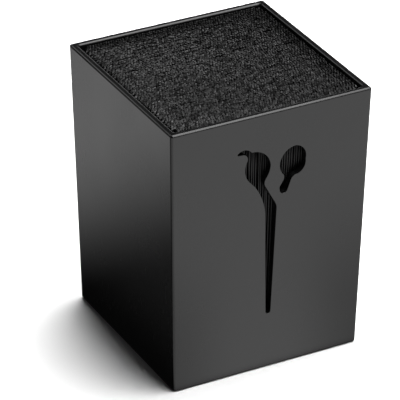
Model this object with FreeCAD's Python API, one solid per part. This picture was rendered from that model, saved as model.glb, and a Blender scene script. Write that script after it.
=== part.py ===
import FreeCAD, Part
import math
import os

# Square holder for scissors and knives. A drafted case with a scissors-shaped window in its front
# stands on four rubber feet. A loose insert stands in the case: a shallow tray, the slab of melted
# rod ends in it, and the springy rods that grip a blade pushed in from above.
# Millimetres, +Z up, front towards -Y, origin on the ground below the middle of the case.

# Case: one moulding, wider at the rim than at the floor by its draft
CASE_TOP_WIDTH = 110.0
CASE_BOTTOM_WIDTH = 103.6
CASE_HEIGHT = 145.0
CASE_WALL = 3.4
CASE_FLOOR = 3.0
CASE_CORNER_RADIUS = 1.3
RIM_OUTER_RADIUS = 1.2
RIM_INNER_RADIUS = 1.0
BASE_EDGE_RADIUS = 0.5

# Feet: round pads set into pockets of the underside
FOOT_DIAMETER = 10.0
FOOT_THICKNESS = 1.6
FOOT_PROUD = 0.6
FOOT_EDGE_RADIUS = 0.3
FOOT_POCKET_CLEARANCE = 0.2
FOOT_FROM_MIDDLE = 40.0

# Insert tray and the slab of melted rod ends
TRAY_WIDTH = 95.6
TRAY_HEIGHT = 8.0
TRAY_WALL = 1.2
TRAY_FLOOR = 1.5
TRAY_CORNER_RADIUS = 2.0
SLAB_THICKNESS = 5.0
SLAB_CLEARANCE = 0.3

# Rods: the pack is square, and spreads a little from its roots to its tips
ROD_DIAMETER = 1.25
RODS_PER_ROW = 73
ROWS_PER_NODE = 2
NODE_COUNT = 35
ROOT_WIDTH = 92.4
TIP_WIDTH = 100.8
PACK_CORNER_RADIUS = 5.0
TIP_BELOW_RIM = 0.8

# Heights of the stack, from the ground up
CASE_Z = FOOT_PROUD
RIM_Z = CASE_Z + CASE_HEIGHT
TRAY_Z = CASE_Z + CASE_FLOOR
SLAB_Z = TRAY_Z + TRAY_FLOOR
ROOT_Z = SLAB_Z + SLAB_THICKNESS
TIP_Z = RIM_Z - TIP_BELOW_RIM

# Window outlines, clockwise. A point is (x from the middle of the front, z from the ground), and each
# step is the point that an arc bulges through, or None for a straight run, and the step's end point.
BLADE_WINDOW = [
    ((-15.1, 128.05), (-11.1, 125.75)),  # back of the finger hook
    ((-3.75, 123.05), (-0.5, 116.15)),  # crown of the finger pad
    ((-1.5, 112.05), (-2.9, 109.6)),
    ((-3.65, 107.3), (-3.2, 105.2)),  # neck
    (None, (2.6, 94.7)),
    ((3.35, 92.7), (3.45, 90.8)),  # shoulder of the blade
    (None, (1.7, 33.25)),
    ((0.35, 31.65), (-1.0, 33.25)),  # tip of the blade
    (None, (-2.75, 90.3)),
    ((-4.95, 98.95), (-8.95, 106.4)),  # shank
    (None, (-12.2, 110.05)),
    ((-14.5, 116.15), (-13.6, 120.9)),  # left side of the pad
    ((-13.5, 124.15), (-15.3, 125.65)),
    (None, (-18.35, 125.85)),
    ((-18.95, 126.45), (-18.45, 126.95)),  # tip of the hook
]
OVAL_WINDOW = [
    ((4.65, 114.65), (6.25, 119.9)),  # left side of the oval pad
    ((9.15, 122.7), (13.4, 123.85)),
    ((17.85, 120.9), (18.85, 115.15)),
    ((17.45, 109.8), (13.5, 107.6)),
    ((11.8, 106.8), (10.9, 105.1)),
    (None, (9.15, 100.25)),
    ((6.95, 98.85), (4.95, 101.15)),  # rounded end of the stub
    ((4.85, 102.65), (5.55, 103.9)),
    (None, (6.85, 106.2)),
    ((7.25, 108.0), (6.35, 109.85)),
]
WINDOW_START_Y = -0.5 * CASE_TOP_WIDTH - 1.0
WINDOW_CUT_DEPTH = 12.0

CLOSE = 1e-4


def vec(x, y, z):
    return FreeCAD.Vector(x, y, z)


def case_half_width(z):
    """Half the outside width of the case at a height."""
    rise = (z - CASE_Z) / CASE_HEIGHT
    return 0.5 * (CASE_BOTTOM_WIDTH + rise * (CASE_TOP_WIDTH - CASE_BOTTOM_WIDTH))


def square(half_width):
    """A centred square as (x0, y0, x1, y1)."""
    return (-half_width, -half_width, half_width, half_width)


def ring(rectangle, z):
    """The four corners of a level rectangle, and the first again."""
    x0, y0, x1, y1 = rectangle
    return [vec(x0, y0, z), vec(x1, y0, z), vec(x1, y1, z), vec(x0, y1, z), vec(x0, y0, z)]


def tapered_block(low, high, z_low, z_high):
    """A closed block between two level rectangles, one above the other."""
    bottom = ring(low, z_low)
    top = ring(high, z_high)
    outlines = [bottom[::-1], top]
    for i in range(4):
        outlines.append([bottom[i], bottom[i + 1], top[i + 1], top[i], bottom[i]])
    faces = [Part.Face(Part.makePolygon(points)) for points in outlines]
    return Part.makeSolid(Part.makeShell(faces))


def rounded_block(width, height, z, radius):
    """A square block with rounded upright edges."""
    block = tapered_block(square(0.5 * width), square(0.5 * width), z, z + height)
    return block.makeFillet(radius, upright_edges(block))


def upright_edges(solid):
    """The edges that climb from the bottom of a block to its top."""
    height = solid.BoundBox.ZLength
    return [edge for edge in solid.Edges if edge.BoundBox.ZLength > 0.9 * height]


def level_edges(solid, z):
    """The edges that lie at one height."""
    boxes = [(edge, edge.BoundBox) for edge in solid.Edges]
    return [edge for edge, box in boxes if abs(box.ZMin - z) < CLOSE and abs(box.ZMax - z) < CLOSE]


def inner_rim_edges(solid):
    """The edges round the mouth of the case, on the inside of its wall."""
    limit = case_half_width(RIM_Z) - 0.9 * CASE_WALL
    edges = level_edges(solid, RIM_Z)
    return [edge for edge in edges if max(edge.BoundBox.XMax, edge.BoundBox.YMax) < limit
            and min(edge.BoundBox.XMin, edge.BoundBox.YMin) > -limit]


def window_cutter(steps):
    """The block that one window outline cuts through the front wall."""
    edges = []
    start = steps[-1][1]
    for bulge, end in steps:
        points = [vec(x, WINDOW_START_Y, z) for x, z in (start, bulge or end, end)]
        if bulge:
            edges.append(Part.Arc(*points).toShape())
        else:
            edges.append(Part.LineSegment(points[0], points[2]).toShape())
        start = end
    return Part.Face(Part.Wire(edges)).extrude(vec(0, WINDOW_CUT_DEPTH, 0))


def foot_places():
    """Each foot's name and the middle of its place."""
    places = {}
    for side, x in (("left", -FOOT_FROM_MIDDLE), ("right", FOOT_FROM_MIDDLE)):
        places["foot_front_" + side] = (x, -FOOT_FROM_MIDDLE)
        places["foot_back_" + side] = (x, FOOT_FROM_MIDDLE)
    return places


def make_case():
    """The drafted shell with its floor, rounded rim, window and foot pockets."""
    block = tapered_block(square(case_half_width(CASE_Z)), square(case_half_width(RIM_Z)), CASE_Z, RIM_Z)
    block = block.makeFillet(CASE_CORNER_RADIUS, upright_edges(block))
    block = block.makeFillet(RIM_OUTER_RADIUS, level_edges(block, RIM_Z))
    block = block.makeFillet(BASE_EDGE_RADIUS, level_edges(block, CASE_Z))

    above_rim = RIM_Z + 1.0
    cavity_low = square(case_half_width(TRAY_Z) - CASE_WALL)
    cavity_high = square(case_half_width(above_rim) - CASE_WALL)
    cavity = tapered_block(cavity_low, cavity_high, TRAY_Z, above_rim)
    cavity = cavity.makeFillet(CASE_CORNER_RADIUS, upright_edges(cavity))
    case = block.cut(cavity)
    case = case.makeFillet(RIM_INNER_RADIUS, inner_rim_edges(case))

    for steps in (BLADE_WINDOW, OVAL_WINDOW):
        case = case.cut(window_cutter(steps))
    pocket_radius = 0.5 * FOOT_DIAMETER + FOOT_POCKET_CLEARANCE
    pocket_depth = FOOT_THICKNESS - FOOT_PROUD
    for x, y in foot_places().values():
        case = case.cut(Part.makeCylinder(pocket_radius, pocket_depth, vec(x, y, CASE_Z)))
    return case


def make_foot(x, y):
    """A round rubber pad with its lower edge rounded."""
    foot = Part.makeCylinder(0.5 * FOOT_DIAMETER, FOOT_THICKNESS, vec(x, y, 0))
    return foot.makeFillet(FOOT_EDGE_RADIUS, level_edges(foot, 0))


def make_tray():
    """The shallow cup at the bottom of the insert."""
    block = rounded_block(TRAY_WIDTH, TRAY_HEIGHT, TRAY_Z, TRAY_CORNER_RADIUS)
    inner_width = TRAY_WIDTH - 2 * TRAY_WALL
    inner_radius = TRAY_CORNER_RADIUS - 0.5 * TRAY_WALL
    return block.cut(rounded_block(inner_width, TRAY_HEIGHT, SLAB_Z, inner_radius))


def make_slab():
    """The rods' lower ends, melted into one slab that fits in the tray."""
    width = TRAY_WIDTH - 2 * (TRAY_WALL + SLAB_CLEARANCE)
    return rounded_block(width, SLAB_THICKNESS, SLAB_Z, TRAY_CORNER_RADIUS)


def make_rod_row(index):
    """A slat that holds the place and the volume of two neighbouring rows of rods."""
    rod_area = 0.25 * math.pi * ROD_DIAMETER ** 2
    mean_width = 0.5 * (ROOT_WIDTH + TIP_WIDTH)
    thickness = ROWS_PER_NODE * RODS_PER_ROW * rod_area / mean_width
    share = (index + 0.5) / NODE_COUNT
    outlines = []
    for pack_width in (ROOT_WIDTH, TIP_WIDTH):
        from_edge = min(share, 1 - share) * pack_width
        into_corner = max(PACK_CORNER_RADIUS - from_edge, 0)
        inset = PACK_CORNER_RADIUS - math.sqrt(PACK_CORNER_RADIUS ** 2 - into_corner ** 2)
        x = 0.5 * pack_width - inset
        y = (share - 0.5) * pack_width
        outlines.append((-x, y - 0.5 * thickness, x, y + 0.5 * thickness))
    return tapered_block(outlines[0], outlines[1], ROOT_Z, TIP_Z)


def main():
    nodes = {"case_shell": make_case()}
    for name, (x, y) in foot_places().items():
        nodes[name] = make_foot(x, y)
    nodes["insert_tray"] = make_tray()
    nodes["fused_root_slab"] = make_slab()
    for index in range(NODE_COUNT):
        nodes["rod_row_%02d" % (index + 1)] = make_rod_row(index)

    os.makedirs("parts", exist_ok=True)
    for name, shape in nodes.items():
        shape.exportStep("parts/%s.step" % name)
        print("%-18s %9.1f mm3  valid %s  solids %d" % (name, shape.Volume, shape.isValid(), len(shape.Solids)))


main()
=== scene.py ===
"""The visual model of a square holder for scissors and knives, filled with springy upright rods."""

import logging
import math
from collections.abc import Iterable, Mapping, Sequence
from dataclasses import dataclass, field
from enum import Enum, IntEnum, StrEnum
from typing import Any

import bmesh
import bpy
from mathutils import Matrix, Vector
from mathutils.geometry import tessellate_polygon


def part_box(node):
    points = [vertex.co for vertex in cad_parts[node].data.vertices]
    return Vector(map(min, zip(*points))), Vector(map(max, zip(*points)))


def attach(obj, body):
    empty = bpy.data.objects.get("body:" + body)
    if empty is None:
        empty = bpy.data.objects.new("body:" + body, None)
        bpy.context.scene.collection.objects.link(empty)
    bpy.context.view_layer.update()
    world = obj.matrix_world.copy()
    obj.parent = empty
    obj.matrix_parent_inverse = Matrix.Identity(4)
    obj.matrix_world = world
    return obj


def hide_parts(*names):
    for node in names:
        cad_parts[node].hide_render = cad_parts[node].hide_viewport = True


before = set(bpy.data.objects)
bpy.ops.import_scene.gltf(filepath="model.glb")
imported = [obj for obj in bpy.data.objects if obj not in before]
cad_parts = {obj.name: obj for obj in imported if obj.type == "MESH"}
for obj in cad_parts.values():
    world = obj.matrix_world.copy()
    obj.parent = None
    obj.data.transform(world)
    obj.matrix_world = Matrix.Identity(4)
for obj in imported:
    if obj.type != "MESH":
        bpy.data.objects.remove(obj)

log = logging.getLogger("holder")

MM = 0.001
NO_VECTOR = (0.0, 0.0, 0.0)
SOCKET_KINDS = {
    int: "NodeSocketInt", float: "NodeSocketFloat",
    tuple: "NodeSocketVector", type(None): "NodeSocketMaterial",
}

Triple = tuple[float, float, float]


class Body(Enum):
    """The bodies of the frame that pieces ride on."""

    CASE = "case"
    INSERT = "rod_insert"


class Slot(Enum):
    """The names of the record's material slots for the case and the rods."""

    CASE = "case_plastic"
    ROD = "rod_plastic"


# ---- node trees


class Graph:
    """A node tree that is being written."""

    def __init__(self, tree: bpy.types.NodeTree) -> None:
        """Start on a tree.

        Args:
            tree: A shader or geometry tree, empty or with nodes of its own.
        """
        self.tree = tree

    def node(self, kind: str, inputs: Mapping[Any, Any] | None = None, **settings: Any) -> bpy.types.Node:
        """Add a node.

        Args:
            kind: The node's type, as Blender names it.
            inputs: What goes into its sockets, by name or number: another socket, or a constant.
            settings: The node's own properties.

        Returns:
            The node.
        """
        node = self.tree.nodes.new(kind)
        for name, value in settings.items():
            setattr(node, name, value)
        for key, value in (inputs or {}).items():
            self.feed(self.pick(node.inputs, key), value)
        return node

    def out(
        self, kind: str, inputs: Mapping[Any, Any] | None = None, result: Any = 0, **settings: Any
    ) -> Any:
        """Add a node and return one of its outputs.

        Args:
            kind: The node's type.
            inputs: What goes into its sockets.
            result: The output's name or number.
            settings: The node's own properties.

        Returns:
            The output socket.
        """
        return self.pick(self.node(kind, inputs, **settings).outputs, result)

    def math(self, operation: str, *values: Any) -> Any:
        """Add a Math node and return its output."""
        return self.out("ShaderNodeMath", dict(enumerate(values)), operation=operation)

    def plus(self, first: Any, second: Any) -> Any:
        """Return the sum of two numbers."""
        return self.math("ADD", first, second)

    def minus(self, first: Any, second: Any) -> Any:
        """Return the first number less the second."""
        return self.math("SUBTRACT", first, second)

    def times(self, first: Any, second: Any) -> Any:
        """Return the product of two numbers."""
        return self.math("MULTIPLY", first, second)

    def parts(self, vector: Any) -> Any:
        """Return a vector's parts, by the names X, Y and Z."""
        return self.node("ShaderNodeSeparateXYZ", {0: vector}).outputs

    def vector(self, operation: str, *values: Any) -> Any:
        """Add a Vector Math node and return its vector, or its number where it gives one."""
        result = 1 if operation in {"DOT_PRODUCT", "LENGTH"} else 0
        return self.out("ShaderNodeVectorMath", dict(enumerate(values)), result, operation=operation)

    def scaled(self, vector: Any, factor: Any) -> Any:
        """Return a vector times a number."""
        return self.out("ShaderNodeVectorMath", {0: vector, "Scale": factor}, operation="SCALE")

    def mix(self, factor: Any, low: Any, high: Any, kind: str = "FLOAT") -> Any:
        """Return what lies between two numbers, or two colours where the kind is RGBA, by a factor."""
        sockets = {"Factor": factor, "A": low, "B": high}
        return self.out("ShaderNodeMix", sockets, "Result", data_type=kind)

    def ramp(self, value: Any, low: float, high: float, to_low: float = 0.0, to_high: float = 1.0) -> Any:
        """Return a value taken smoothly from one range to another, and held at its ends.

        Args:
            value: The number that drives it.
            low: Where the ramp starts.
            high: Where the ramp ends.
            to_low: The result at and below low.
            to_high: The result at and above high.

        Returns:
            The output socket.
        """
        sockets = {"Value": value, "From Min": low, "From Max": high, "To Min": to_low, "To Max": to_high}
        return self.out("ShaderNodeMapRange", sockets, "Result", interpolation_type="SMOOTHSTEP")

    def feed(self, socket: bpy.types.NodeSocket, value: Any) -> None:
        """Link a socket to another, or set it to a constant."""
        if isinstance(value, bpy.types.NodeSocket):
            self.tree.links.new(value, socket)
        else:
            socket.default_value = value

    @staticmethod
    def pick(sockets: Any, key: Any) -> bpy.types.NodeSocket:
        """Return the socket with a number, or the first one in use with a name."""
        if isinstance(key, int):
            return sockets[key]
        return next(s for s in sockets if s.name == key and not s.is_unavailable)


def add_inputs(tree: bpy.types.NodeTree, inputs: Mapping[str, Any]) -> dict[str, str]:
    """Give a node tree its inputs.

    Args:
        tree: The tree.
        inputs: Each input's first value by name. The value tells what kind of input it is.

    Returns:
        Each input's identifier by name.
    """
    keys = {}
    for name, value in inputs.items():
        kind = SOCKET_KINDS[type(value)]
        socket = tree.interface.new_socket(name=name, in_out="INPUT", socket_type=kind)
        if value is not None:
            socket.default_value = value
        keys[name] = socket.identifier
    return keys


def new_group(name: str, inputs: Mapping[str, Any], outputs: Iterable[str]) -> tuple[Graph, Any, Any]:
    """Make an empty shader node group.

    Args:
        name: The group's name.
        inputs: Each input's first value by name.
        outputs: The names of the numbers that it gives.

    Returns:
        The graph to write in, the inputs by name, and the outputs by name.
    """
    tree = bpy.data.node_groups.new(name, "ShaderNodeTree")
    add_inputs(tree, inputs)
    for label in outputs:
        tree.interface.new_socket(name=label, in_out="OUTPUT", socket_type="NodeSocketFloat")
    g = Graph(tree)
    return g, g.node("NodeGroupInput").outputs, g.node("NodeGroupOutput").inputs


def moulded_grain() -> bpy.types.NodeTree:
    """Make the group that gives moulded plastic and rubber its fine grain and its slow, cloudy change."""
    inputs = {"Vector": NO_VECTOR, "Grain Size": 0.4 * MM, "Cloud Size": 30 * MM}
    g, given, result = new_group("moulded grain", inputs, ("Height", "Cloud"))
    place = given["Vector"]
    sockets = {"Vector": place, "Scale": g.math("DIVIDE", 1.0, given["Grain Size"])}
    pits = g.out("ShaderNodeTexVoronoi", sockets, "Distance", feature="SMOOTH_F1")
    grit = g.out("ShaderNodeTexNoise", {**sockets, "Detail": 3.0}, "Fac")
    # The height is six parts of pits to four parts of grit.
    g.feed(result["Height"], g.math("MULTIPLY_ADD", pits, 0.6, g.times(grit, 0.4)))
    slow = g.math("DIVIDE", 1.0, given["Cloud Size"])
    cloud = g.out("ShaderNodeTexNoise", {"Vector": place, "Scale": slow, "Detail": 2.0}, "Fac")
    g.feed(result["Cloud"], g.ramp(cloud, 0.3, 0.7))
    return g.tree


def fine_streaks() -> bpy.types.NodeTree:
    """Make the group that draws fine streaks: lines along a rod, or hairline rubs on a moulding."""
    inputs = {"Vector": NO_VECTOR, "Stretch": (1.0, 1.0, 0.02), "Width": 0.2 * MM, "Share": 0.5}
    g, given, result = new_group("fine streaks", inputs, ("Mask", "Height"))
    stretched = g.vector("MULTIPLY", given["Vector"], given["Stretch"])
    scale = g.math("DIVIDE", 1.0, given["Width"])
    lines = g.out("ShaderNodeTexNoise", {"Vector": stretched, "Scale": scale, "Detail": 4.0}, "Fac")
    sharpness = 6.0
    mask = g.times(g.minus(lines, g.minus(1.0, given["Share"])), sharpness)
    g.feed(result["Mask"], g.out("ShaderNodeClamp", {"Value": mask}))
    g.feed(result["Height"], lines)
    return g.tree


# ---- finishes


class Shading:
    """A new material, with its Principled shader and a place to put patterns."""

    def __init__(self, name: str) -> None:
        """Make the material."""
        self.material = bpy.data.materials.new(name)
        self.material.use_nodes = True
        self.graph = Graph(self.material.node_tree)
        self.principled = self.material.node_tree.nodes["Principled BSDF"]
        self.place = self.graph.out("ShaderNodeTexCoord", result="Object")

    def set(self, **values: Any) -> None:
        """Set the shader's sockets, named with underscores for spaces."""
        for name, value in values.items():
            self.graph.feed(self.principled.inputs[name.replace("_", " ")], value)

    def group(self, tree: bpy.types.NodeTree, **values: Any) -> bpy.types.Node:
        """Add a node group, feed its inputs, and give it the surface's place."""
        inputs = {name.replace("_", " "): value for name, value in values.items()}
        return self.graph.node("ShaderNodeGroup", {"Vector": self.place, **inputs}, node_tree=tree)

    def bump(self, height: Any, depth: float) -> None:
        """Raise the surface by a height between 0 and 1, times a depth in metres."""
        sockets = {"Height": height, "Distance": depth, "Strength": 1.0}
        self.set(Normal=self.graph.out("ShaderNodeBump", sockets, "Normal"))

    def tint(self, factor: Any, low: Sequence[float], high: Sequence[float]) -> Any:
        """Return a colour between two, by a factor."""
        return self.graph.mix(factor, (*low, 1.0), (*high, 1.0), "RGBA")


@dataclass(frozen=True)
class MouldedPlastic:
    """Black injection moulding with an even grain and a few hairline rubs."""

    name: str
    grain: bpy.types.NodeTree
    streaks: bpy.types.NodeTree
    dark: Triple = (0.0026, 0.0026, 0.0027)
    light: Triple = (0.0036, 0.0036, 0.0037)
    roughness: float = 0.25
    roughness_change: float = 0.05
    grain_size: float = 0.35 * MM
    grain_depth: float = 0.004 * MM
    rub_share: float = 0.36
    rub_width: float = 0.5 * MM

    def material(self) -> bpy.types.Material:
        """Return the material."""
        shading = Shading(self.name)
        grain = shading.group(self.grain, Grain_Size=self.grain_size)
        upright = (1.0, 1.0, 0.05)
        rubs = shading.group(self.streaks, Stretch=upright, Width=self.rub_width, Share=self.rub_share)
        cloud = grain.outputs["Cloud"]
        graph = shading.graph
        least = self.roughness - 0.5 * self.roughness_change
        smooth = graph.math("MULTIPLY_ADD", cloud, self.roughness_change, least)
        worn = graph.math("MULTIPLY_ADD", rubs.outputs["Mask"], self.roughness_change, smooth)
        shading.set(Base_Color=shading.tint(cloud, self.dark, self.light), Roughness=worn)
        shading.bump(grain.outputs["Height"], self.grain_depth)
        return shading.material


@dataclass(frozen=True)
class DrawnRod:
    """Extruded black rod: faint lines along it, and a cut end from black to grey, by the rod's tone,
    which carries painted shade near the pack's edge.
    """

    name: str
    streaks: bpy.types.NodeTree
    side: Triple = (0.0018, 0.0018, 0.0018)
    side_light: Triple = (0.0045, 0.0045, 0.0046)
    cut: Triple = (0.0006, 0.0006, 0.0006)
    cut_light: Triple = (0.0190, 0.0190, 0.0192)
    roughness: float = 0.34
    cut_roughness: float = 0.40
    shaft_shine: float = 0.32
    side_shine: float = 0.06
    dull_above: float = 141 * MM
    dull_fade: float = 6 * MM
    cut_shine: float = 0.58
    cut_shine_least: float = 0.19
    line_width: float = 0.15 * MM
    line_depth: float = 0.01 * MM
    line_roughness: float = 0.08

    def material(self) -> bpy.types.Material:
        """Return the material."""
        shading = Shading(self.name)
        g = shading.graph
        # The tone carries painted shade near the pack's edge, which darkens and dulls the cut ends there.
        tone = g.out("ShaderNodeAttribute", result="Fac", attribute_name=RodField.TONE)
        end = g.out("ShaderNodeAttribute", result="Fac", attribute_name=RodField.END)
        lines = shading.group(self.streaks, Stretch=(1.0, 1.0, 0.01), Width=self.line_width, Share=0.5)
        side = shading.tint(tone, self.side, self.side_light)
        cut = shading.tint(tone, self.cut, self.cut_light)
        lined = g.math("MULTIPLY_ADD", lines.outputs["Mask"], self.line_roughness, self.roughness)
        cut_shine = g.math("MULTIPLY_ADD", tone, self.cut_shine, self.cut_shine_least)
        height = g.parts(shading.place)["Z"]
        full = self.dull_above - self.dull_fade
        side_shine = g.ramp(height, full, self.dull_above, self.shaft_shine, self.side_shine)
        shading.set(
            Base_Color=g.mix(end, side, cut, "RGBA"),
            Roughness=g.mix(end, lined, self.cut_roughness),
            Specular_IOR_Level=g.mix(end, side_shine, cut_shine),
        )
        shading.bump(lines.outputs["Height"], self.line_depth)
        return shading.material


@dataclass(frozen=True)
class MattSkin:
    """Matt black rubber or melted plastic, with a bumpy skin and a cloudy change of tone."""

    name: str
    grain: bpy.types.NodeTree
    dark: Triple
    light: Triple
    roughness: float
    roughness_change: float
    grain_size: float
    grain_depth: float
    cloud_size: float

    def material(self) -> bpy.types.Material:
        """Return the material."""
        shading = Shading(self.name)
        skin = shading.group(self.grain, Grain_Size=self.grain_size, Cloud_Size=self.cloud_size)
        cloud = skin.outputs["Cloud"]
        rough = shading.graph.math("MULTIPLY_ADD", cloud, self.roughness_change, self.roughness)
        shading.set(Base_Color=shading.tint(cloud, self.dark, self.light), Roughness=rough)
        shading.bump(skin.outputs["Height"], self.grain_depth)
        return shading.material


# ---- meshes


def placed(name: str, data: Any) -> bpy.types.Object:
    """Put a new object into the scene, at the origin."""
    piece = bpy.data.objects.new(name, data)
    bpy.context.scene.collection.objects.link(piece)
    return piece


@dataclass
class MeshMaker:
    """A closed mesh that is being put together from rings of points."""

    mesh: bmesh.types.BMesh = field(default_factory=bmesh.new)

    def ring(self, points: Iterable[Vector]) -> list[bmesh.types.BMVert]:
        """Add points and return their vertices."""
        return [self.mesh.verts.new(point) for point in points]

    def face(self, vertices: Sequence[bmesh.types.BMVert], smooth: bool = False) -> None:
        """Add one face, counter-clockwise as seen from outside."""
        self.mesh.faces.new(vertices).smooth = smooth

    def bridge(
        self, first: Sequence[Any], second: Sequence[Any], smooth: Any = True, skip: Iterable[int] = ()
    ) -> None:
        """Join two rings with four-sided faces.

        Args:
            first: One ring, counter-clockwise as seen from the side that the second lies on.
            second: The other ring, with as many vertices.
            smooth: True or False for all faces, or the set of the smooth faces' numbers.
            skip: The numbers of the faces to leave open.
        """
        count = len(first)
        for i in set(range(count)) - set(skip):
            j = (i + 1) % count
            is_smooth = smooth if isinstance(smooth, bool) else i in smooth
            self.face((first[i], first[j], second[j], second[i]), is_smooth)

    def finish(self, name: str) -> bpy.types.Object:
        """Turn the mesh into an object of the scene.

        Args:
            name: The object's name.

        Returns:
            The object, at the origin.
        """
        data = bpy.data.meshes.new(name)
        self.mesh.to_mesh(data)
        self.mesh.free()
        return placed(name, data)


def arc_points(
    start: Sequence[float], bulge: Sequence[float], end: Sequence[float], step: float
) -> list[Vector]:
    """Return points on the arc through three points, without its start.

    Args:
        start: Where the arc starts.
        bulge: A point that it passes through.
        end: Where the arc ends.
        step: About how far apart the points are.

    Returns:
        The points, the last of them at the end.
    """
    a, b, c = Vector(start), Vector(bulge), Vector(end)
    twice_area = 2 * ((b - a).cross(c - a))
    ab, ac = (b - a).length_squared, (c - a).length_squared
    from_a = Vector((ab * (c - a).y - ac * (b - a).y, ac * (b - a).x - ab * (c - a).x)) / twice_area
    centre = a + from_a
    angle_a = math.atan2(a.y - centre.y, a.x - centre.x)
    angle_c = math.atan2(c.y - centre.y, c.x - centre.x)
    turn = (angle_c - angle_a) % (2 * math.pi)
    if twice_area < 0:
        turn -= 2 * math.pi
    count = max(2, round(abs(turn) * from_a.length / step))
    angles = [angle_a + turn * i / count for i in range(1, count + 1)]
    return [centre + from_a.length * Vector((math.cos(angle), math.sin(angle))) for angle in angles]


def grown_outline(points: Sequence[Vector], distance: float) -> list[Vector]:
    """Return a counter-clockwise outline moved outwards by a distance."""
    grown = []
    for i, point in enumerate(points):
        before = (point - points[i - 1]).normalized()
        after = (points[(i + 1) % len(points)] - point).normalized()
        along = (before + after).normalized()
        outwards = Vector((along.y, -along.x))
        spread = max(0.5, along.dot(after))
        grown.append(point + outwards * distance / spread)
    return grown


@dataclass
class CaseShell:
    """The drafted case: a square cup with a rounded rim and a scissors-shaped window in its front."""

    finish: MouldedPlastic
    node: str = "case_shell"
    base_half_width: float = 51.8 * MM
    wall: float = 3.4 * MM
    floor: float = 3.0 * MM
    corner_radius: float = 1.3 * MM
    rim_outer_radius: float = 1.2 * MM
    rim_inner_radius: float = 1.0 * MM
    base_radius: float = 0.5 * MM
    window_radius: float = 0.15 * MM
    corner_steps: int = 6
    edge_steps: int = 6
    window_step: float = 0.7 * MM
    # Outlines in millimetres, clockwise: (x from the middle, height above the ground). A step is the
    # point that its arc bulges through, or None for a straight run, and the step's end.
    blade_window: tuple[Any, ...] = (
        ((-15.1, 128.05), (-11.1, 125.75)),
        ((-3.75, 123.05), (-0.5, 116.15)),
        ((-1.5, 112.05), (-2.9, 109.6)),
        ((-3.65, 107.3), (-3.2, 105.2)),
        (None, (2.6, 94.7)),
        ((3.35, 92.7), (3.45, 90.8)),
        (None, (1.7, 33.25)),
        ((0.35, 31.65), (-1.0, 33.25)),
        (None, (-2.75, 90.3)),
        ((-4.95, 98.95), (-8.95, 106.4)),
        (None, (-12.2, 110.05)),
        ((-14.5, 116.15), (-13.6, 120.9)),
        ((-13.5, 124.15), (-15.3, 125.65)),
        (None, (-18.35, 125.85)),
        ((-18.95, 126.45), (-18.45, 126.95)),
    )
    oval_window: tuple[Any, ...] = (
        ((4.65, 114.65), (6.25, 119.9)),
        ((9.15, 122.7), (13.4, 123.85)),
        ((17.85, 120.9), (18.85, 115.15)),
        ((17.45, 109.8), (13.5, 107.6)),
        ((11.8, 106.8), (10.9, 105.1)),
        (None, (9.15, 100.25)),
        ((6.95, 98.85), (4.95, 101.15)),
        ((4.85, 102.65), (5.55, 103.9)),
        (None, (6.85, 106.2)),
        ((7.25, 108.0), (6.35, 109.85)),
    )

    def __post_init__(self) -> None:
        """Take the case's height and top width from the frame."""
        low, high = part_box(self.node)
        self.bottom, self.rim = low.z, high.z
        self.top_half_width = high.x

    def half_width(self, z: float) -> float:
        """Return half the outside width at a height."""
        rise = (z - self.bottom) / (self.rim - self.bottom)
        return self.base_half_width + rise * (self.top_half_width - self.base_half_width)

    def square(self, half: float, radius: float, z: float) -> list[Vector]:
        """Return a level square with round corners, counter-clockwise, whose last side is the front.

        Args:
            half: Half its width.
            radius: Its corners' radius.
            z: Its height.

        Returns:
            The points.
        """
        points = []
        for quarter, (x, y) in enumerate(((1, -1), (1, 1), (-1, 1), (-1, -1))):
            centre = Vector((x, y, 0)) * (half - radius)
            for i in range(self.corner_steps + 1):
                angle = math.radians(90 * (quarter - 1 + i / self.corner_steps))
                points.append(centre + Vector((radius * math.cos(angle), radius * math.sin(angle), z)))
        return points

    def quarter_turn(self, radius: float) -> list[tuple[float, float]]:
        """Return (1 - sin, 1 - cos) times a radius, through a quarter turn."""
        angles = [0.5 * math.pi * i / self.edge_steps for i in range(self.edge_steps + 1)]
        return [(radius * (1 - math.sin(angle)), radius * (1 - math.cos(angle))) for angle in angles]

    def outer_rings(self) -> tuple[list[list[Vector]], list[list[Vector]]]:
        """Return the rings of the base's rounded edge and of the rim's outer edge, from the ground up."""
        base = [(inset, self.bottom + rise) for inset, rise in self.quarter_turn(self.base_radius)]
        rim = [(inset, self.rim - drop) for inset, drop in self.quarter_turn(self.rim_outer_radius)]
        return tuple(
            [self.square(self.half_width(z) - inset, self.corner_radius - inset, z) for inset, z in edge]
            for edge in (base, reversed(rim))
        )

    def inner_rings(self) -> tuple[list[list[Vector]], list[Vector]]:
        """Return the rings of the rim's inner edge, from the top down, and the ring round the floor."""
        rim = []
        for inset, drop in self.quarter_turn(self.rim_inner_radius):
            z = self.rim - drop
            rim.append(self.square(self.half_width(z) - self.wall + inset, self.corner_radius + inset, z))
        z = self.bottom + self.floor
        return rim, self.square(self.half_width(z) - self.wall, self.corner_radius, z)

    def window_outline(self, steps: Sequence[Any]) -> list[Vector]:
        """Return a window's outline on the front in metres, counter-clockwise as seen from the front."""
        points = []
        start = steps[-1][1]
        for bulge, end in steps:
            run = arc_points(start, bulge, end, self.window_step / MM) if bulge else [Vector(end)]
            points.extend(point * MM for point in run)
            start = end
        return points[::-1]

    def build(self) -> bpy.types.Object:
        """Build the case's closed mesh.

        Returns:
            The piece, riding on its body in place of the frame's own node.
        """
        maker = MeshMaker()
        base, rim = self.outer_rings()
        inner_rim, floor = self.inner_rings()
        base, rim, inner_rim = ([maker.ring(r) for r in rings] for rings in (base, rim, inner_rim))
        floor = maker.ring(floor)
        count = len(floor)
        front = count - 1
        straight = {i for i in range(count) if i % (self.corner_steps + 1) == self.corner_steps}
        corners = set(range(count)) - straight

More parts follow.
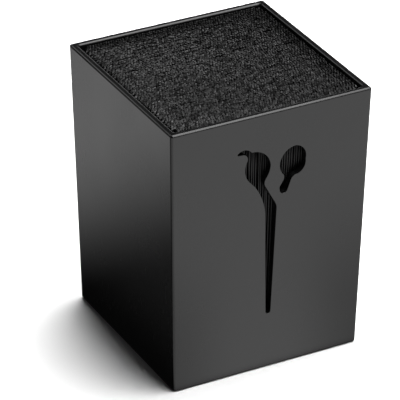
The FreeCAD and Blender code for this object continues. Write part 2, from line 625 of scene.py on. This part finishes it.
        for rings in (base, rim, inner_rim):
            for first, second in zip(rings, rings[1:]):
                maker.bridge(first, second)
        maker.bridge(base[-1], rim[0], corners, skip=[front])
        maker.bridge(rim[-1], inner_rim[0], False)
        maker.bridge(inner_rim[-1], floor, corners, skip=[front])
        maker.face(floor)
        maker.face(base[0][::-1])

        outside = (base[-1][front], base[-1][0], rim[0][0], rim[0][front])
        inside = (inner_rim[-1][front], inner_rim[-1][0], floor[0], floor[front])
        self.cut_windows(maker, outside, inside)

        piece = maker.finish("case_moulding")
        piece.data.materials.append(self.finish.material())
        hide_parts(self.node)
        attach(piece, Body.CASE.value)
        return piece

    def cut_windows(self, maker: MeshMaker, outside: Sequence[Any], inside: Sequence[Any]) -> None:
        """Close the front wall's two sides round the windows, and line the windows.

        Args:
            maker: The case's mesh.
            outside: The four corners of the wall's outer side, counter-clockwise from the front.
            inside: The four corners of its inner side, clockwise from the front.
        """
        turn = [(grow, depth, False) for grow, depth in self.quarter_turn(self.window_radius)]
        turn += [(grow, depth, True) for grow, depth, _ in reversed(turn)]
        outer_edges, inner_edges = [], []
        for steps in (self.blade_window, self.oval_window):
            outline = self.window_outline(steps)
            rings = []
            for grow, depth, from_inside in turn:
                rings.append(maker.ring(self.on_wall(grown_outline(outline, grow), depth, from_inside)))
            for first, second in zip(rings, rings[1:]):
                maker.bridge(first, second)
            outer_edges.append(rings[0])
            inner_edges.append(rings[-1])
        self.fill_wall(maker, [outside, *outer_edges], outwards=-1)
        self.fill_wall(maker, [inside, *inner_edges], outwards=1)

    def on_wall(self, outline: Iterable[Vector], depth: float, from_inside: bool) -> list[Vector]:
        """Return an outline's points at a depth below the front wall's outer or inner side."""
        inwards = self.wall - depth if from_inside else depth
        return [Vector((p.x, inwards - self.half_width(p.y), p.y)) for p in outline]

    @staticmethod
    def fill_wall(maker: MeshMaker, loops: Sequence[Sequence[Any]], outwards: int) -> None:
        """Fill a flat face with holes by triangles.

        Args:
            maker: The mesh.
            loops: The face's outline, and then its holes.
            outwards: -1 where the face looks towards -Y, and 1 where it looks towards +Y.
        """
        vertices = [vertex for loop in loops for vertex in loop]
        flat = [[Vector((vertex.co.x, vertex.co.z, 0)) for vertex in loop] for loop in loops]
        for triangle in tessellate_polygon(flat):
            a, b, c = (vertices[i] for i in triangle)
            looks = (b.co - a.co).cross(c.co - a.co).y
            maker.face((a, b, c) if looks * outwards > 0 else (a, c, b))


# ---- rods


class RodField(StrEnum):
    """The names of the values that every rod carries."""

    ROOT = "rod_root"
    LEAN = "rod_lean"
    BOW = "rod_bow"
    TILT = "rod_tilt"
    TIP = "rod_tip_z"
    SPIN = "rod_spin"
    # A random tone, with painted shade added where the pack meets the case.
    TONE = "rod_tone_and_painted_shade"
    END = "rod_end"
    UNIT = "rod_unit"


class Draw(IntEnum):
    """The random draws of a rod. Each number goes into the draw's seed."""

    JITTER = 1
    HEIGHT = 2
    BOW = 3
    TILT = 4
    SPIN = 5
    TONE = 6
    CORNER = 7


@dataclass
class RodTree:
    """The Geometry Nodes tree that makes the rods of a few neighbouring rows.

    A rod stands on its root, leans and bows a little, and ends in a cut, chamfered tip. Where the pack
    meets the case, the rods fan outwards and end lower, their cut ends get painted shade, and they stay
    out of the pack's corners.
    """

    inputs: tuple[tuple[str, Any], ...] = (
        ("First Row", 0),
        ("Rows", 2),
        ("Rows in Pack", 70),
        ("Rods per Row", 73),
        ("Root Width", 92.4 * MM),
        ("Tip Width", 100.0 * MM),
        ("Root Height", 10.0 * MM),
        ("Tip Height", 145.0 * MM),
        ("Rod Radius", 0.64 * MM),
        ("Corner Radius", 5.0 * MM),
        ("Fan Width", 9.5 * MM),
        ("Fan Reach", 1.2 * MM),
        ("Fan Drop", 0.3 * MM),
        ("Fan Painted Shade", 0.45),
        ("Fan Tilt", 0.9),
        ("Wander", 0.9 * MM),
        ("Jitter", 0.22 * MM),
        ("Bow", 0.25 * MM),
        ("Height Spread", 0.16 * MM),
        ("Cut Slope", 0.30),
        ("Splay", 0.8),
        ("Chamfer", 0.08 * MM),
        ("Seed", 7),
        ("Material", None),
    )
    sides: int = 8
    side_segments: int = 5
    tip_scale: float = 0.97
    lean_power: float = 1.15
    fan_power: float = 1.5
    # How much of its wander a rod loses at the pack's edge.
    edge_hold: float = 0.8
    # How ragged the pack's corners are.
    corner_rag: float = 0.6 * MM
    # The wander's waves: how many to a metre, and how strong.
    waves: tuple[tuple[float, float], ...] = ((60.0, 1.4), (190.0, 0.9))
    # How far the wander's noise moves on from one seed to the next.
    wave_step: float = 1.7

    def __post_init__(self) -> None:
        """Write the tree."""
        self.tree = bpy.data.node_groups.new("rod rows", "GeometryNodeTree")
        self.keys = add_inputs(self.tree, dict(self.inputs))
        self.tree.interface.new_socket(name="Rods", in_out="OUTPUT", socket_type="NodeSocketGeometry")
        self.graph = Graph(self.tree)
        self.given = self.graph.node("NodeGroupInput").outputs
        rods = self.bent_rods(self.roots())
        self.graph.feed(self.graph.node("NodeGroupOutput").inputs["Rods"], rods)

    def random(self, draw: Draw, low: Any, high: Any, kind: str = "FLOAT") -> Any:
        """Return a random value of each point, between two, with a seed of its own."""
        seed = self.graph.plus(self.given["Seed"], draw)
        sockets = {"Min": low, "Max": high, "Seed": seed}
        return self.graph.out("FunctionNodeRandomValue", sockets, "Value", data_type=kind)

    def random_level(self, draw: Draw, size: Any) -> Any:
        """Return a random level vector of each point, with both parts up to a size either way."""
        vector = self.random(draw, (-1.0, -1.0, 0.0), (1.0, 1.0, 0.0), "FLOAT_VECTOR")
        return self.graph.scaled(vector, size)

    def store(self, geometry: Any, name: str, value: Any, kind: str = "FLOAT_VECTOR") -> Any:
        """Keep a value on each point, and return the geometry with it."""
        sockets = {"Geometry": geometry, "Name": name, "Value": value}
        return self.graph.out("GeometryNodeStoreNamedAttribute", sockets, data_type=kind, domain="POINT")

    def stored(self, name: str, kind: str = "FLOAT_VECTOR") -> Any:
        """Return a value kept on each point."""
        sockets = {"Name": name}
        return self.graph.out("GeometryNodeInputNamedAttribute", sockets, "Attribute", data_type=kind)

    def roots(self) -> Any:
        """Lay out the rods' roots, with what each rod does above it, and clear the pack's corners."""
        g, given = self.graph, self.given
        index, per_row = g.out("GeometryNodeInputIndex"), given["Rods per Row"]
        across = g.math("MODULO", index, per_row)
        row = g.math("FLOOR", g.math("DIVIDE", index, per_row))
        along = g.plus(row, given["First Row"])
        # Every other row is shifted by half a rod.
        stagger = g.math("MULTIPLY_ADD", g.math("MODULO", along, 2.0), 0.5, 0.25)
        u = g.minus(g.math("DIVIDE", g.plus(across, stagger), per_row), 0.5)
        v = g.minus(g.math("DIVIDE", g.plus(along, 0.5), given["Rows in Pack"]), 0.5)
        share = g.out("ShaderNodeCombineXYZ", {"X": u, "Y": v})
        root = g.scaled(share, given["Root Width"])

        core_width = g.minus(given["Tip Width"], g.times(2.0, given["Fan Reach"]))
        tip = g.scaled(share, core_width)
        fan, edge = self.fan(tip, core_width)
        tip = g.vector("ADD", tip, g.scaled(fan, given["Fan Reach"]))
        inwards = g.minus(1.0, g.times(edge, self.edge_hold))
        wander = g.scaled(self.wander(root), g.times(given["Wander"], inwards))
        jitter = self.random_level(Draw.JITTER, given["Jitter"])
        lean = g.vector("ADD", g.vector("SUBTRACT", tip, root), g.vector("ADD", wander, jitter))

        uneven = g.times(self.random(Draw.HEIGHT, 0.0, 1.0), given["Height Spread"])
        drop = g.plus(uneven, g.times(edge, given["Fan Drop"]))
        tip_z = g.minus(given["Tip Height"], drop)
        bow = self.random_level(Draw.BOW, given["Bow"])
        tilt = self.random_level(Draw.TILT, given["Cut Slope"])
        tilt = g.vector("SUBTRACT", tilt, g.scaled(share, given["Splay"]))
        tilt = g.vector("SUBTRACT", tilt, g.scaled(fan, given["Fan Tilt"]))

        # Painted shade: the tone darkens towards the pack's edge, next to the case's walls.
        shade = g.minus(1.0, g.times(edge, given["Fan Painted Shade"]))
        tone = g.times(self.random(Draw.TONE, 0.0, 1.0), shade)

        points = g.out("GeometryNodePoints", {"Count": g.times(given["Rows"], per_row)})
        vectors = {RodField.ROOT: root, RodField.LEAN: lean, RodField.BOW: bow, RodField.TILT: tilt}
        for name, value in vectors.items():
            points = self.store(points, name, value)
        spin = self.random(Draw.SPIN, 0.0, math.tau)
        for name, value in {RodField.TIP: tip_z, RodField.SPIN: spin, RodField.TONE: tone}.items():
            points = self.store(points, name, value, "FLOAT")
        sockets = {"Geometry": points, "Selection": self.outside_corners(root)}
        return g.out("GeometryNodeDeleteGeometry", sockets, domain="POINT")

    def fan(self, tip: Any, width: Any) -> tuple[Any, Any]:
        """Return how much a tip is fanned out, from 0 to 1.

        Args:
            tip: Where the tip is without the fan.
            width: How wide the tips stand without the fan.

        Returns:
            A level vector with both parts from -1 to 1, and the larger of its parts without its sign.
        """
        g = self.graph
        half = g.times(width, 0.5)
        parts = g.parts(tip)
        pulls = []
        for part in (parts["X"], parts["Y"]):
            to_edge = g.minus(half, g.math("ABSOLUTE", part))
            near = g.minus(1.0, g.math("DIVIDE", to_edge, self.given["Fan Width"]))
            near = g.math("POWER", g.math("MAXIMUM", near, 0.0), self.fan_power)
            pulls.append((near, g.times(near, g.math("SIGN", part))))
        outwards = g.out("ShaderNodeCombineXYZ", {"X": pulls[0][1], "Y": pulls[1][1]})
        return outwards, g.math("MAXIMUM", pulls[0][0], pulls[1][0])

    def wander(self, place: Any) -> Any:
        """Return a level vector that changes slowly over the pack, so that neighbours lean together."""
        g = self.graph
        total = None
        for scale, weight in self.waves:
            seed = g.times(self.given["Seed"], self.wave_step)
            noise = {"Vector": place, "Scale": scale, "Detail": 1.0, "W": seed}
            colour = g.out("ShaderNodeTexNoise", noise, "Color", noise_dimensions="4D")
            centred = g.vector("SUBTRACT", colour, (0.5, 0.5, 0.5))
            part = g.vector("MULTIPLY", centred, (2 * weight, 2 * weight, 0.0))
            total = part if total is None else g.vector("ADD", total, part)
        return total

    def outside_corners(self, root: Any) -> Any:
        """Return whether a root lies outside the pack's rounded corners, with a ragged limit."""
        g = self.graph
        half = g.times(self.given["Root Width"], 0.5)
        square = g.minus(half, self.given["Corner Radius"])
        size = g.vector("ABSOLUTE", root)
        beyond = g.vector("SUBTRACT", size, g.out("ShaderNodeCombineXYZ", {"X": square, "Y": square}))
        beyond = g.vector("MAXIMUM", beyond, (0.0, 0.0, 0.0))
        ragged = self.random(Draw.CORNER, -self.corner_rag, self.corner_rag)
        reach = g.plus(g.vector("LENGTH", beyond), ragged)
        limit = g.plus(self.given["Corner Radius"], self.corner_rag)
        return g.math("GREATER_THAN", reach, limit)

    def unit_rod(self) -> Any:
        """Make one straight rod, 1 high and 1 in radius, that remembers its own coordinates."""
        g = self.graph
        rings = {"Vertices": self.sides, "Side Segments": self.side_segments}
        rod = g.out("GeometryNodeMeshCylinder", {**rings, "Radius": 1.0, "Depth": 1.0}, "Mesh")
        rod = g.out("GeometryNodeSetPosition", {"Geometry": rod, "Offset": (0.0, 0.0, 0.5)})
        return self.store(rod, RodField.UNIT, g.out("GeometryNodeInputPosition"))

    def bent_rods(self, roots: Any) -> Any:
        """Stand a rod on every root, bend it, and cut its tip."""
        g, given = self.graph, self.given
        rods = g.out("GeometryNodeInstanceOnPoints", {"Points": roots, "Instance": self.unit_rod()})
        rods = g.out("GeometryNodeRealizeInstances", {"Geometry": rods})

        unit = self.stored(RodField.UNIT)
        height = g.parts(unit)["Z"]
        # The unit rod's last segment is the chamfer, so the shaft reaches its full height before it.
        is_end = g.math("GREATER_THAN", height, 0.95)
        last = self.side_segments / (self.side_segments - 1)
        up = g.math("MINIMUM", g.times(height, last), 1.0)

        narrowed = g.minus(1.0, g.times(is_end, 1 - self.tip_scale))
        radius = g.times(given["Rod Radius"], narrowed)
        level = g.vector("MULTIPLY", unit, (1.0, 1.0, 0.0))
        turned = {"Vector": level, "Angle": self.stored(RodField.SPIN, "FLOAT"), "Axis": (0.0, 0.0, 1.0)}
        local = g.scaled(g.out("ShaderNodeVectorRotate", turned), radius)

        slope = g.vector("DOT_PRODUCT", local, self.stored(RodField.TILT))
        not_shaft = g.plus(given["Root Height"], given["Chamfer"])
        shaft = g.minus(self.stored(RodField.TIP, "FLOAT"), not_shaft)
        z = g.plus(given["Root Height"], g.times(up, shaft))
        z = g.plus(z, g.times(is_end, g.plus(given["Chamfer"], slope)))

        lean = g.scaled(self.stored(RodField.LEAN), g.math("POWER", up, self.lean_power))
        bend = g.math("SINE", g.times(up, math.pi))
        bow = g.scaled(self.stored(RodField.BOW), bend)
        axis = g.vector("ADD", self.stored(RodField.ROOT), lean)
        place = g.vector("ADD", axis, g.vector("ADD", bow, local))
        place = g.vector("ADD", place, g.out("ShaderNodeCombineXYZ", {"Z": z}))
        rods = self.store(rods, RodField.END, is_end, "FLOAT")
        rods = g.out("GeometryNodeSetPosition", {"Geometry": rods, "Position": place})
        rods = g.out("GeometryNodeSetShadeSmooth", {0: rods}, domain="FACE")
        return g.out("GeometryNodeSetMaterial", {"Geometry": rods, "Material": given["Material"]})

    def make(self, name: str, material: bpy.types.Material, **values: Any) -> bpy.types.Object:
        """Run the tree once and keep what it makes as a plain mesh.

        Args:
            name: The new object's name.
            material: What the rods are made of.
            values: The tree's inputs, named with underscores for spaces.

        Returns:
            The object, at the origin.
        """
        piece = placed(name, bpy.data.meshes.new(name))
        modifier = piece.modifiers.new("rods", "NODES")
        modifier.node_group = self.tree
        modifier[self.keys["Material"]] = material
        for key, value in values.items():
            modifier[self.keys[key.replace("_", " ")]] = value
        graph = bpy.context.evaluated_depsgraph_get()
        made = piece.evaluated_get(graph)
        data = bpy.data.meshes.new_from_object(made, preserve_all_data_layers=True, depsgraph=graph)
        piece.modifiers.remove(modifier)
        empty, piece.data = piece.data, data
        bpy.data.meshes.remove(empty)
        for attribute in RodField:
            if attribute not in (RodField.TONE, RodField.END):
                data.attributes.remove(data.attributes[attribute])
        data.name = name
        return piece


@dataclass
class RodInsert:
    """The lift-out insert: its tray, the slab of melted rod ends, and the rods themselves."""

    rod_finish: DrawnRod
    tray_finish: MouldedPlastic
    slab_finish: MattSkin
    tray_node: str = "insert_tray"
    slab_node: str = "fused_root_slab"
    row_prefix: str = "rod_row_"
    rows_per_node: int = 2
    rods_per_row: int = 73
    root_sink: float = 0.2 * MM

    def build(self) -> list[bpy.types.Object]:
        """Dress the tray and the slab, and make the rods of every row node.

        Returns:
            The new pieces.
        """
        dress(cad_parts[self.tray_node], self.tray_finish.material())
        dress(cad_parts[self.slab_node], self.slab_finish.material())
        rows = sorted(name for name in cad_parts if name.startswith(self.row_prefix))
        low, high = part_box(rows[len(rows) // 2])
        tree = RodTree()
        material = self.rod_finish.material()
        pieces = []
        for number, row in enumerate(rows):
            piece = tree.make(
                row.replace(self.row_prefix, "rods_"),
                material,
                First_Row=number * self.rows_per_node,
                Rows=self.rows_per_node,
                Rows_in_Pack=len(rows) * self.rows_per_node,
                Rods_per_Row=self.rods_per_row,
                Tip_Width=high.x - low.x,
                Root_Height=low.z - self.root_sink,
                Tip_Height=high.z,
                Seed=number,
            )
            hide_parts(row)
            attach(piece, Body.INSERT.value)
            pieces.append(piece)
        return pieces


def dress(piece: bpy.types.Object, material: bpy.types.Material) -> None:
    """Give every material slot of a piece one material."""
    if not piece.material_slots:
        piece.data.materials.append(material)
    for slot in piece.material_slots:
        slot.material = material


# ---- studio


@dataclass(frozen=True)
class Softbox:
    """A rectangular lamp, which may be hidden from matt surfaces or from reflections."""

    name: str
    place: Triple
    aim: Triple
    size: tuple[float, float]
    watts: float
    matt: bool = True
    glossy: bool = True

    def hang(self) -> None:
        """Put the lamp into the scene, where the camera doesn't see it."""
        lamp = bpy.data.lights.new(self.name, "AREA")
        lamp.shape = "RECTANGLE"
        lamp.size, lamp.size_y = self.size
        lamp.energy = self.watts
        holder = placed(self.name, lamp)
        holder.location = self.place
        holder.rotation_euler = (Vector(self.place) - Vector(self.aim)).to_track_quat("Z", "Y").to_euler()
        holder.visible_camera = False
        holder.visible_diffuse = self.matt
        holder.visible_glossy = self.glossy


@dataclass
class Studio:
    """A pale floor, soft light, a hidden sheet that glossy surfaces reflect, and the camera.

    The lamps and the sheet are set for their effect: they don't follow one real arrangement.
    """

    target: Triple = (-0.00864, 0.00268, 0.07075)
    distance: float = 1.636
    azimuth: float = -28.05
    elevation: float = 29.35
    roll: float = 0.283
    lens: float = 294.01
    softboxes: tuple[Softbox, ...] = (
        Softbox("overhead softbox", (0.72, -0.35, 1.9), (0.72, -0.35, 0.0), (1.4, 2.4), 54.0),
        Softbox("front softbox", (0.8, -1.9, 1.5), (0.0, 0.0, 0.05), (1.4, 1.4), 25.0, matt=False),
        Softbox("floor softbox", (0.70, 0.46, 1.95), (0.70, 0.46, 0.0), (1.52, 2.6), 93.0, glossy=False),
        Softbox("back left softbox", (-0.65, 1.75, 1.30), (0.0, 0.0, 0.14), (1.1, 0.5), 3.6, matt=False),
        Softbox("low strip", (1.25, 1.60, 0.32), (0.0, 0.0, 0.14), (0.9, 0.4), 1.7, matt=False),
    )
    # The surrounding light's strength: on matt surfaces, and as glossy ones reflect it, level and above.
    world_light: float = 0.024
    world_level: float = 0.008
    world_above: float = 0.32

    def build(self) -> None:
        """Make the floor, the lights and the camera."""
        self.floor()
        self.lay_painted_reflection()
        self.world()
        for softbox in self.softboxes:
            softbox.hang()
        self.camera()

    def floor(self) -> None:
        """Lay the floor that the camera sees."""
        shading = Shading("studio floor")
        cloud = shading.graph.out("ShaderNodeTexNoise", {"Vector": shading.place, "Scale": 3.0}, "Fac")
        shading.set(Base_Color=shading.tint(cloud, (0.86, 0.86, 0.86), (0.88, 0.88, 0.88)), Roughness=0.9)
        shading.set(Specular_IOR_Level=0.1)
        floor = self.sheet("floor", 0.0, shading.material)
        floor.visible_glossy = False
        floor.visible_diffuse = False

    def lay_painted_reflection(self) -> None:
        """Lay the glowing sheet just below the floor that only glossy surfaces see: a painted reflection
        of the floor.

        Its bright areas are painted light and its dark areas painted shadow, which shade the case's
        sides. Lengths along it are in metres from its middle.
        """
        lit = bpy.data.materials.new("painted floor reflection")
        lit.use_nodes = True
        lit.cycles.emission_sampling = "NONE"
        lit.node_tree.nodes.clear()
        g = Graph(lit.node_tree)
        place = g.parts(g.out("ShaderNodeTexCoord", result="Object"))
        x, y = place["X"], place["Y"]

        # Painted shadow: almost black beside the case's left side, with a little light far to the left.
        # Bright behind the case, and dark far behind.
        black = g.ramp(x, -0.11, -0.055, 0.06, 0.010)
        behind = g.plus(black, g.ramp(y, 0.055, 0.21, 0.0, 0.75))
        behind = g.times(behind, g.ramp(y, 0.32, 0.45, 1.0, 0.05))

        # Bright in front, and less so to the left. Close to the case it is dimmer, a painted shadow, on
        # both sides of a lane.
        before = g.times(g.ramp(x, -0.18, -0.035, 0.75, 1.0), g.ramp(y, -0.050, -0.058))
        lane = g.math("MULTIPLY_ADD", y, -0.53, -0.03)
        aside = g.ramp(g.math("ABSOLUTE", g.minus(x, lane)), 0.01, 0.06)
        shade = g.times(aside, g.ramp(y, -0.20, -0.09, 0.0, 0.36))
        brightest = 1.45
        before = g.times(before, g.math("MULTIPLY_ADD", shade, -brightest, brightest))

        # Half bright far in front, and a little brighter to the right, from the case's front backwards.
        far_front = g.ramp(y, -0.30, -0.10, 0.5, 0.0)
        right = g.times(g.ramp(x, 0.07, 0.20, 0.0, 0.70), g.ramp(y, -0.09, -0.02))
        strength = behind
        for part in (before, far_front, right):
            strength = g.math("MAXIMUM", strength, part)
        glow = g.out("ShaderNodeEmission", {"Strength": strength})
        g.node("ShaderNodeOutputMaterial", {"Surface": glow})
        card = self.sheet("painted_reflection_sheet", -0.001, lit, 1.4)
        card.visible_camera = False
        card.visible_diffuse = False
        card.visible_shadow = False

    @staticmethod
    def sheet(name: str, z: float, material: bpy.types.Material, size: float = 1.0) -> bpy.types.Object:
        """Make a level square that belongs to the studio, not to the object."""
        half = 0.5 * size
        data = bpy.data.meshes.new(name)
        corners = [(-half, -half, z), (half, -half, z), (half, half, z), (-half, half, z)]
        data.from_pydata(corners, [], [(0, 1, 2, 3)])
        data.materials.append(material)
        sheet = placed(name, data)
        return sheet

    def world(self) -> None:
        """Surround the scene with white for the camera and with much fainter light for the surfaces."""
        world = bpy.data.worlds.new("studio")
        bpy.context.scene.world = world
        world.use_nodes = True
        world.node_tree.nodes.clear()
        g = Graph(world.node_tree)
        rays = g.node("ShaderNodeLightPath").outputs
        up = g.parts(g.out("ShaderNodeTexCoord", result="Generated"))["Z"]
        mirrored = g.ramp(up, 0.75, 0.95, self.world_level, self.world_above)
        strength = g.mix(rays["Is Glossy Ray"], self.world_light, mirrored)
        strength = g.math("MAXIMUM", strength, rays["Is Camera Ray"])
        glow = g.out("ShaderNodeBackground", {"Color": (1.0, 1.0, 1.0, 1.0), "Strength": strength})
        g.node("ShaderNodeOutputWorld", {"Surface": glow})

    def camera(self) -> None:
        """Set up the camera and the plain colour view."""
        around, up = math.radians(self.azimuth), math.radians(self.elevation)
        back = Vector((math.sin(around) * math.cos(up), -math.cos(around) * math.cos(up), math.sin(up)))
        lens = bpy.data.cameras.new("camera")
        lens.lens = self.lens
        camera = placed("camera", lens)
        camera.location = Vector(self.target) + back * self.distance
        turn = (-back).to_track_quat("-Z", "Y").to_matrix().to_4x4()
        camera.rotation_euler = turn.to_euler()
        camera.rotation_euler.rotate_axis("Z", math.radians(self.roll))
        bpy.context.scene.camera = camera
        bpy.context.scene.view_settings.view_transform = "Standard"


# ---- the whole


def main() -> None:
    """Build the object and the studio."""
    logging.basicConfig(level=logging.INFO, format="%(message)s")
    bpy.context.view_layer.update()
    grain, streaks = moulded_grain(), fine_streaks()

    case = CaseShell(MouldedPlastic("satin case plastic", grain, streaks)).build()
    log.info("case: %d faces", len(case.data.polygons))

    insert = RodInsert(
        rod_finish=DrawnRod("drawn rod plastic", streaks),
        tray_finish=MouldedPlastic("tray plastic", grain, streaks, roughness=0.48),
        slab_finish=MattSkin(
            "melted rod plastic", grain, (0.010,) * 3, (0.022,) * 3, roughness=0.32, roughness_change=0.2,
            grain_size=1.6 * MM, grain_depth=0.25 * MM, cloud_size=9 * MM,
        ),
    )
    for piece in insert.build():
        log.info("%s: %d faces", piece.name, len(piece.data.polygons))

    rubber = MattSkin(
        "foot rubber", grain, (0.016,) * 3, (0.030, 0.030, 0.029), roughness=0.75, roughness_change=0.12,
        grain_size=0.25 * MM, grain_depth=0.02 * MM, cloud_size=4 * MM,
    ).material()
    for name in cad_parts:
        if name.startswith("foot_"):
            dress(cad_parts[name], rubber)

    Studio().build()


if __name__ == "__main__":
    main()
